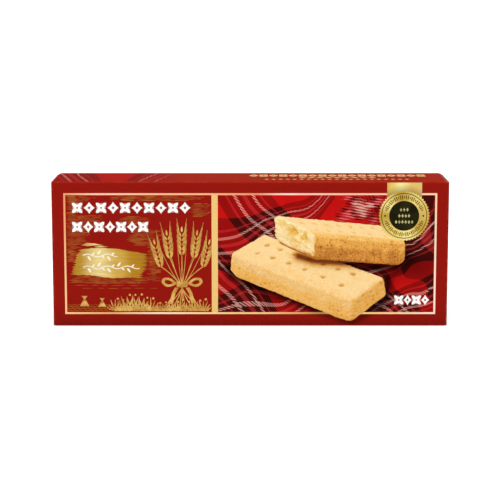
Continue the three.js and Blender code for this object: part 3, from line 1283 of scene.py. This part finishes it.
def stooks():
    """Two small stooks of corn that stand in the furrows."""
    strokes = []
    for u, v, tall in ((-75.5, 9.6, 4.4), (-67.5, 9.4, 3.6)):
        for i in range(-4, 5):
            lean = 0.11 * i * tall
            foot = (u + lean, v - 0.4, 1)
            waist = (u + lean * 0.2, v + tall * 0.55, 1)
            strokes.append([foot, waist, (u - lean * 0.65, v + tall, 0.4)])
        strokes.append([(u - 0.6, v + tall * 0.52, 1), (u + 0.6, v + tall * 0.52, 1)])
    return strokes


def brush_patch(draw):
    """The outline of a broad dry-brush stroke with ragged ends, and two stray bristle marks."""
    upper, lower = [], []
    for i in range(25):
        t = i / 24
        u = -78 + 29.5 * t
        upper.append((u, 35.2 + 1.5 * math.sin(t * 3.0 + 0.2) - 1.6 * t + draw.uniform(-0.15, 0.15)))
        lower.append((u, 23.5 - 1.6 * t + 0.35 * math.sin(t * 9) + draw.uniform(-0.15, 0.15)))
    right = []
    teeth = 13
    for i in range(teeth):
        v = upper[-1][1] + (lower[-1][1] - upper[-1][1]) * (i + 0.5) / teeth
        reach = -45.9 + draw.uniform(-1.3, 0.1) - 1.9 * (i > 8)
        right += [(reach, v), (reach - draw.uniform(1.2, 3.4), v - 0.42)]
    left = []
    for i in range(11):
        t = (i + 0.5) / 11
        v = lower[0][1] + (upper[0][1] - lower[0][1]) * t
        reach = -82 + 4.2 * t ** 1.3 + draw.uniform(-0.3, 0.6)
        left += [(reach, v), (reach + draw.uniform(0.8, 1.8), v + 0.5)]
    body = upper + right + lower[::-1] + left
    strays = [
        [(-76.7, 37.4), (-74, 38.4), (-70.5, 38.2), (-66.5, 37.3), (-70.5, 37.3), (-74, 37.0)],
        [(-71, 36.6), (-68, 37.0), (-64.5, 36.8), (-68, 36.4)],
    ]
    return [body] + strays


def sprig(left, right, v, height):
    """A waving stem with small leaves by turns above and below it: stem stroke and leaves."""
    wave = height * 2.3
    stem, leaves = [], []
    count = int((right - left) / 0.4)
    for i in range(count + 1):
        u = left + (right - left) * i / count
        stem.append((u, v + 0.16 * height * math.sin(2 * math.pi * (u - left) / wave), 0.8))
    pairs = int((right - left) / (0.5 * wave))
    for i in range(pairs):
        hand = 1 if i % 2 else -1
        u = left + 0.5 * wave * (i + 0.5)
        long_lean, short_lean = math.pi / 2 - hand * 0.95, math.pi / 2 + hand * 0.8
        leaves.append(kernel(u, v + hand * 0.1 * height, long_lean, height * 0.62, height * 0.3))
        leaves.append(kernel(u + 0.2 * wave, v, short_lean, height * 0.5, height * 0.24))
    return stem, leaves


def seal_parts(u, v):
    """Outlines of the seal's toothed disc, its ring of ticks, and the small rows in its middle."""
    teeth = 52
    count = teeth * 6
    disc = []
    for i in range(count):
        angle = 2 * math.pi * i / count
        reach = SEAL_R + 0.28 * math.cos(teeth * angle)
        disc.append((u + reach * math.cos(angle), v + reach * math.sin(angle)))
    ticks = []
    for i in range(60):
        angle = 2 * math.pi * i / 60
        if abs(math.sin(angle)) < 0.24:
            continue
        inner, outer = (7.6, 9.4) if i % 3 else (8.0, 9.0)
        ticks.append([(u + r * math.cos(angle), v + r * math.sin(angle)) for r in (inner, outer)])
    small = []
    for row, number in ((2.8, 3), (0, 4), (-2.8, 6)):
        for i in range(number):
            small.append(lozenge(u + 1.45 * (i - (number - 1) / 2), v + row, 1.1, 1.75, 1.0, 16))
    return disc, ticks, small


# The hatched banks behind the rows of ornament and the patch: left, right, bottom, top
HATCHED = (
    (-84, -71, 57.2, 60.3),
    (-84, -77.6, 30, 60),
    (-79, -66, 47, 51.2),
    (-80, -73.5, 38, 47),
    (-64, -21, 57.9, 60.2),
    (-59, -46, 47.2, 50.6),
    (-55, -41, 37.4, 45),
    (-46.5, -41.5, 21, 37),
    (-82, -45.5, 19.9, 23.4),
    (-27, -17.2, 50.6, 57),
)
HATCH_PITCH = 0.64

# How wide each kind of line is printed
HATCH_WIDTH = 0.46
FURROW_WIDTH = 0.4
LEAF_WIDTH = 0.62
STEM_WIDTH = 0.6
TICK_WIDTH = 0.46
RULE_WIDTH = 0.35

# Rows of star flowers and lozenges: left, right, middle, height and how many shapes
TITLE_ROWS = ((-80.9, -26.8, 54.5, 5.4, 10), (-80.8, -46, 45.8, 5.4, 7))
WEIGHT_ROW = (65.7, 81.7, 12.1, 4.9, 4)
BACK_TITLE = (22, 76, 54.5, 5.4, 10)

# Sprigs on the gold patch: left, right, middle and height
SPRIGS = ((-76, -60.2, 32.7, 3.9), (-76, -50.3, 27.2, 3.9))

# The printed shadow below the frame line where the lower biscuit reaches over it: left, bottom
# and right of its sheet, then how dark and how wide it is
CORNER = (22, 0.9, 60)
CORNER_DARK = 0.62
CORNER_SPREAD = 1.9


def frame_and_bar(suffix, side, left, right, inks):
    """The stamped frame line of a big panel, and the gold bar that parts it."""
    ring = frame_ring(-FRAME_SIDE, FRAME_LOW, FRAME_SIDE, FRAME_HIGH)
    print_shapes("foil_frame" + suffix, ring, side, FOIL, inks["foil"])
    bar = rectangle(left, INSIDE_LOW - BAR_LAP, right, INSIDE_HIGH + BAR_LAP)
    print_shapes("gold_bar" + suffix, [bar], side, BAR_LAYER, inks["bar"])


def engraving(side, inks):
    """The line drawing of a corn field with its hatched sky, and the brushed patch on it."""
    draw = random.Random(SEED)
    hatching = []
    for bank in HATCHED:
        hatching += hatch_bank(*bank, HATCH_PITCH, draw)
    edge = 1.1 - FRAME_SIDE
    inside = [[p for p in stroke if edge < p[0] < BAR_LEFT and p[1] < INSIDE_HIGH] for stroke in hatching]
    inside = [stroke for stroke in inside if len(stroke) > 1]
    print_lines("rust_hatching", inside, side, HATCH_WIDTH, GROUND, inks["rust"])
    print_sheaf("sheaf", side, SHEAF_U, TIE_V, 1, inks["engraving"])
    print_lines("field_strokes", field_strokes(draw), side, FURROW_WIDTH, GROUND, inks["rust"])
    print_lines("stooks", stooks(), side, FURROW_WIDTH, LINES, inks["engraving"])
    leaves, seeds = hedge(draw)
    print_lines("hedge_leaves", leaves, side, LEAF_WIDTH, GROUND, inks["engraving"])
    print_shapes("hedge_seeds", seeds, side, LINES, inks["engraving"])
    print_shapes("brush_patch", brush_patch(draw), side, LINES, inks["brush"])
    stems, leaves = [], []
    for row in SPRIGS:
        stem, made = sprig(*row)
        stems.append(stem)
        leaves += made
    print_lines("patch_stems", stems, side, STEM_WIDTH, FOIL, inks["cream"], LINES)
    print_shapes("patch_leaves", leaves, side, FOIL, inks["cream"])


def seal(side, inks):
    """The band over the fold, and the round seal that is stuck on it."""
    band = rectangle(BAND_LEFT, SEAL_V, BAND_RIGHT, HEIGHT - 0.5)
    print_shapes("seal_band", [band], side, BAND, inks["band"])
    disc, ticks, small = seal_parts(SEAL_U, SEAL_V)
    print_shapes("seal_disc", [disc], side, SEAL, inks["seal"])
    ring = [circle(SEAL_U, SEAL_V, radius) for radius in SEAL_RING]
    print_shapes("seal_ring", ring, side, SEAL_PRINT, inks["umber"])
    middle = [circle(SEAL_U, SEAL_V, SEAL_DARK)]
    middle += [circle(SEAL_U + hand * SEAL_DOTS, SEAL_V, DOT_R, 20) for hand in (-1, 1)]
    print_shapes("seal_middle", middle, side, SEAL_PRINT, inks["black"])
    print_lines("seal_ticks", ticks, side, TICK_WIDTH, SEAL_PRINT, inks["umber"], SEAL)
    print_shapes("seal_rows", small, side, SEAL_PRINT + 0.01, inks["straw"])


def dress_front(inks):
    """All the print of the front panel."""
    side = FRONT
    frame_and_bar("", side, BAR_LEFT, BAR_RIGHT, inks)
    tartan_panel("tartan_front", side, GROUND, inks["tartan"])
    engraving(side, inks)
    titles = [shape for row in TITLE_ROWS for shape in ornament_row(*row)]
    print_shapes("title_ornament", titles, side, FOIL, inks["white"])
    print_shapes("weight_ornament", ornament_row(*WEIGHT_ROW), side, FOIL, inks["white"])
    red = print_sheet("corner_shadow", *CORNER, FRAME_LOW - 0.05, 0.5, side, GROUND, inks["red"])
    near = distance_to_path(points_on(red, side)[:, :2], LOWER_FOOT)
    write(red, "shade", CORNER_DARK * np.exp(-((near / CORNER_SPREAD) ** 2)))
    ink = inks["biscuit"]
    biscuit("lower_biscuit", LOWER_PLACES, 0.42, 0.3, False, side, LOWER_BISCUIT, ink, UPPER_FOOT)
    biscuit("upper_biscuit", UPPER_PLACES, 0.86, 0.7, True, side, UPPER_BISCUIT, ink)
    seal(side, inks)


def dress_top(inks):
    """The top: cloth that fades out, and three rows of gold shapes."""
    side = TOP
    tartan_top("tartan_top", side, GROUND, inks["tartan"])
    rows = []
    for i in range(18):
        u = -0.6 + 82 / 18 * (i + 0.5)
        rows.append(rectangle(u - 1.9, 2.4, u + 1.9, 9.8) if i % 2 else lozenge(u, 6.1, 4.4, 7.8, 1.3))
        rows.append(lozenge(u, 6.1, 1.2, 2.6))
    rows += [lozenge(24 + 4 * i, -1.6, 3.7, 3.0, 1.2) for i in range(9)]
    rows += [lozenge(7.5 + 3.2 * i, -7.6, 2.4, 3.0) for i in range(21)]
    print_shapes("top_ornament", rows, side, LINES, inks["bar"])


# The back: its biscuit's middle and scale, and its table's left, bottom, right, top and row height
BACK_BISCUIT = (-49, 33, 0.84)
TABLE = (22, 11, 56, 46)
TABLE_ROW = 5


def dress_back(inks):
    """The back, finished like the front: cloth with one whole biscuit, a row of star flowers, a
    ruled table and a small sheaf."""
    side = BACK
    frame_and_bar("_back", side, -BAR_RIGHT, -BAR_LEFT, inks)
    middle_u, middle_v, scale = BACK_BISCUIT

    def shrunk(u, v):
        return middle_u + scale * (u - 27), middle_v + scale * (v - 21)

    foot = [shrunk(*spot) for spot in LOWER_FOOT]
    cloth = (-INSIDE_SIDE, INSIDE_LOW, -BAR_RIGHT, INSIDE_HIGH)
    flat_tartan("tartan_back", side, cloth, 42, GROUND, inks["tartan"], ((foot, 0.85, 2.4),))
    places = [(corner, shrunk(*spot)) for corner, spot in LOWER_PLACES]
    biscuit("back_biscuit", places, 0.5, 0.3, False, side, LOWER_BISCUIT, inks["biscuit"])
    print_shapes("title_back", ornament_row(*BACK_TITLE), side, FOIL, inks["white"])
    print_shapes("table_back", frame_ring(*TABLE, 0.5), side, LINES, inks["engraving"])
    left, bottom, right, _ = TABLE
    rules, marks = [], []
    for i in range(7):
        v = bottom + TABLE_ROW * i
        if i:
            rules.append([(left + 0.5, v), (right - 0.5, v)])
        for first, number in ((left + 3.5, 4 + (i * 3) % 4), (right - 6, 2)):
            marks += [lozenge(first + 2.4 * k, v + 2.5, 1.7, 1.8) for k in range(number)]
    print_lines("table_rules", rules, side, RULE_WIDTH, LINES, inks["engraving"])
    print_shapes("table_marks", marks, side, LINES, inks["cream"])
    print_sheaf("sheaf_back", side, 69.8, 21.5, 0.9, inks["engraving"])


# The ends' frame: its middle is nearer the front fold, because the outer flap stops short of
# the back. Then its half width, the bar's foot and top, and the small sheaf's tie and scale.
END_MIDDLE = -1.2
END_HALF = 11.8
END_BAR = (31, 33.8)
END_SHEAF = (40.6, 0.46)


def dress_end(name, side, hand, inks):
    """One closed end: a frame with cloth below, a bar, and a small sheaf above."""
    middle = hand * END_MIDDLE
    left, right = middle - END_HALF, middle + END_HALF
    inner_left, inner_right = left + FRAME_LINE, right - FRAME_LINE
    ring = frame_ring(left, FRAME_LOW, right, FRAME_HIGH)
    print_shapes("foil_frame_" + name, ring, side, FOIL, inks["foil"])
    cloth = (inner_left, INSIDE_LOW, inner_right, END_BAR[0])
    flat_tartan("tartan_" + name, side, cloth, 27, GROUND, inks["tartan"])
    bar = rectangle(inner_left - BAR_LAP, END_BAR[0], inner_right + BAR_LAP, END_BAR[1])
    print_shapes("gold_bar_" + name, [bar], side, BAR_LAYER, inks["bar"])
    title = ornament_row(middle - 7.8, middle + 7.8, 56.3, 4.6, 3)
    print_shapes("title_" + name, title, side, FOIL, inks["white"])
    print_sheaf("sheaf_" + name, side, middle, *END_SHEAF, inks["engraving"])


def dress_base(inks):
    """The base: two gold rules with a row of lozenges between them."""
    rules = [rectangle(-74, v, 74, v + 0.6) for v in (-9.3, 8.7)]
    row = [lozenge(-70 + 5.6 * i, 0, 4.6, 5) for i in range(26)]
    print_shapes("base_ornament", rules + row, BASE, LINES, inks["bar"])


inks = {
    "red": coated_board(),
    "foil": gold_foil(),
    "brush": brushed_gold(),
    "tartan": tartan_print(),
    "biscuit": biscuit_print(),
    "seal": seal_gold(),
    "band": band_gold(),
    # The cut edge of folding boxboard: matt pulp, tinted by the red ink that runs over it
    "raw": even_ink("cut_board_edge", 0.85, 0.2, 0.3, 0.05, (0.3, "#8F4634"), (0.7, "#B97F6B"), detail=5),
    # Flat pale gold of the upright bar: a fine metallic pigment with little sheen
    "bar": even_ink(
        "pale_gold_ink", 0.45, 0.25, 0.6, 0.006, (0.35, "#EAC272"), (0.65, "#F0CB7C"), metallic=0.1
    ),
    # Gold ink of the line drawing, printed thin, so that the red below warms it in places
    "engraving": even_ink(
        "engraving_gold_ink",
        0.5,
        0.08,
        3.0,
        0.006,
        (0.3, "#B9803A"),
        (0.5, "#D3A650"),
        (0.7, "#E2C06A"),
        detail=6,
    ),
    # Half-tone gold over red, which the eye reads as rust, for the hatching
    "rust": even_ink(
        "rust_hatching_ink",
        0.5,
        0.05,
        2.2,
        0.006,
        (0.3, "#933018"),
        (0.5, "#A04C1E"),
        (0.7, "#AE6626"),
        detail=6,
        stretch=(0.35, 1, 1),
    ),
    # Dense white ink, slightly warm, with the board's fibre just showing
    "white": even_ink("opaque_white_ink", 0.55, 0.1, 0.5, 0.006, (0.3, "#F6F1EA"), (0.7, "#FFFFFF")),
    # Cream ink of the leaves on gold
    "cream": even_ink("cream_ink", 0.55, 0.1, 0.5, 0.006, (0.3, "#F7EBCB"), (0.7, "#FFF9E8")),
    # Olive-black ink of the seal's middle
    "black": even_ink("olive_black_ink", 0.5, 0.04, 5, 0.004, (0.35, "#191503"), (0.7, "#2C2A10"), detail=3),
    # Brown-gold ink of the seal's fine ring and ticks
    "umber": even_ink("umber_ink", 0.5, 0.04, 3, 0.004, (0.35, "#5A4204"), (0.7, "#74580C"), detail=3),
    # Dull straw ink of the small rows in the seal's dark middle
    "straw": even_ink("straw_ink", 0.5, 0.04, 1.5, 0.004, (0.35, "#A09A5C"), (0.65, "#CFC890"), detail=3),
}

# The camera stands in front of the pack, a little above it, with a long lens
CAMERA_PLACE = (-0.0001, -0.780, 0.1628)
CAMERA_PITCH = math.radians(9.493)
CAMERA_LENS = 122.8
camera = bpy.data.objects.new("camera", bpy.data.cameras.new("camera"))
camera.location = CAMERA_PLACE
camera.rotation_euler = (math.pi / 2 - CAMERA_PITCH, 0, 0)
camera.data.lens = CAMERA_LENS
camera.data.sensor_width = 36
camera.data.clip_start = 0.01
bpy.context.scene.collection.objects.link(camera)
bpy.context.scene.camera = camera

carton_body(inks["red"], inks["raw"])
dress_front(inks)
dress_top(inks)
dress_back(inks)
dress_end("right", RIGHT, 1, inks)
dress_end("left", LEFT, -1, inks)
dress_base(inks)


def softbox(name, place, target, width, height, power):
    """A rectangular studio light that looks at a target."""
    lamp = bpy.data.lights.new(name, "AREA")
    lamp.shape = "RECTANGLE"
    lamp.size = width
    lamp.size_y = height
    lamp.energy = power
    made = bpy.data.objects.new(name, lamp)
    made.location = place
    made.rotation_euler = (Vector(target) - Vector(place)).to_track_quat("-Z", "Y").to_euler()
    bpy.context.scene.collection.objects.link(made)


def studio():
    """A seamless white floor, a white surround and two soft lights."""
    material, tree, shader, place = start_material("studio_floor_paint", 0.9, 0.0)
    cloud = grain(tree, place, 400, 2)
    colour = add(tree, "ValToRGB", {"Fac": cloud}, ("LINEAR", (0.3, "#FAFAFA"), (0.7, "#FFFFFF")))
    join(tree, shader, colour)
    shader.inputs["Emission Color"].default_value = (1, 1, 1, 1)
    shader.inputs["Emission Strength"].default_value = 0.5
    bpy.ops.object.select_all(action="DESELECT")
    bpy.ops.mesh.primitive_plane_add(size=80, location=(0, 0, 0))
    floor = bpy.context.active_object
    floor.name = "studio_floor"
    floor.data.materials.append(material)
    world = bpy.data.worlds.new("studio")
    world.use_nodes = True
    sky = world.node_tree.nodes["Background"]
    way = add(world.node_tree, "TexCoord").outputs["Generated"]
    rise = add(world.node_tree, "SeparateXYZ", {"Vector": way}).outputs["Z"]
    greys = ("LINEAR", (0, "#5C5C5C"), (0.35, "#A8A8A8"), (1, "#FFFFFF"))
    paint = add(world.node_tree, "ValToRGB", {"Fac": rise}, greys)
    world.node_tree.links.new(paint.outputs["Color"], sky.inputs["Color"])
    sky.inputs["Strength"].default_value = 0.92
    bpy.context.scene.world = world
    target = (0, 0, 0.03)
    softbox("overhead_softbox", (0, -0.1, 1.3), target, 1.4, 1.0, 4.6)
    softbox("key_softbox", (-0.6, -1.3, 0.6), target, 0.8, 0.6, 2.8)
    bpy.context.scene.view_settings.view_transform = "Standard"


studio()
